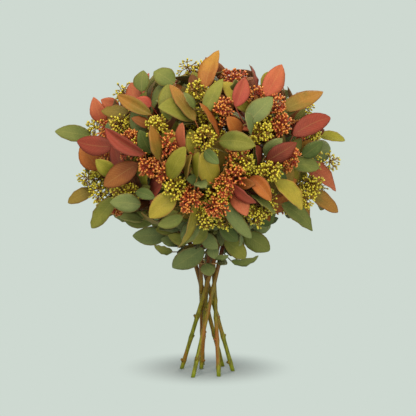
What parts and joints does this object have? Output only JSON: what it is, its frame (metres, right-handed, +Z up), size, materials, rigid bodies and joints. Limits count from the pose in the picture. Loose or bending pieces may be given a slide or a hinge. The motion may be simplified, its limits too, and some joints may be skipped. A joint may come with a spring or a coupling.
{
  "type": "bunch of dried eucalyptus",
  "caption": "Hand-tied bunch of dried seeded eucalyptus with oval autumn-coloured leaves and bud clusters, standing on its splayed cut stems.",
  "frame": {"origin": "middle of the bunch's outline, on the surface that the cut stems stand on", "axes": "+Z up along the stems, the front of the bunch faces -Y, +X to the right of a viewer in front"},
  "size_m": [0.4356, 0.3595, 0.495],
  "materials": {
    "foliage": "matt dried leaf, green and olive to orange and dark red, with a pale midrib",
    "bark": "smooth matt bark, olive green with orange-red stretches",
    "buds_yellow": "satin yellow-green buds",
    "buds_orange": "satin orange-red buds",
    "tie": "plain natural twine"
  },
  "bodies": {
    "root": {"leafy_stem_1": "foliage", "leafy_stem_2": "foliage", "leafy_stem_3": "foliage", "leafy_stem_4": "foliage", "leafy_stem_5": "foliage", "leafy_stem_6": "foliage", "leafy_stem_7": "foliage", "tie": "tie"}
  },
  "joints": []
}
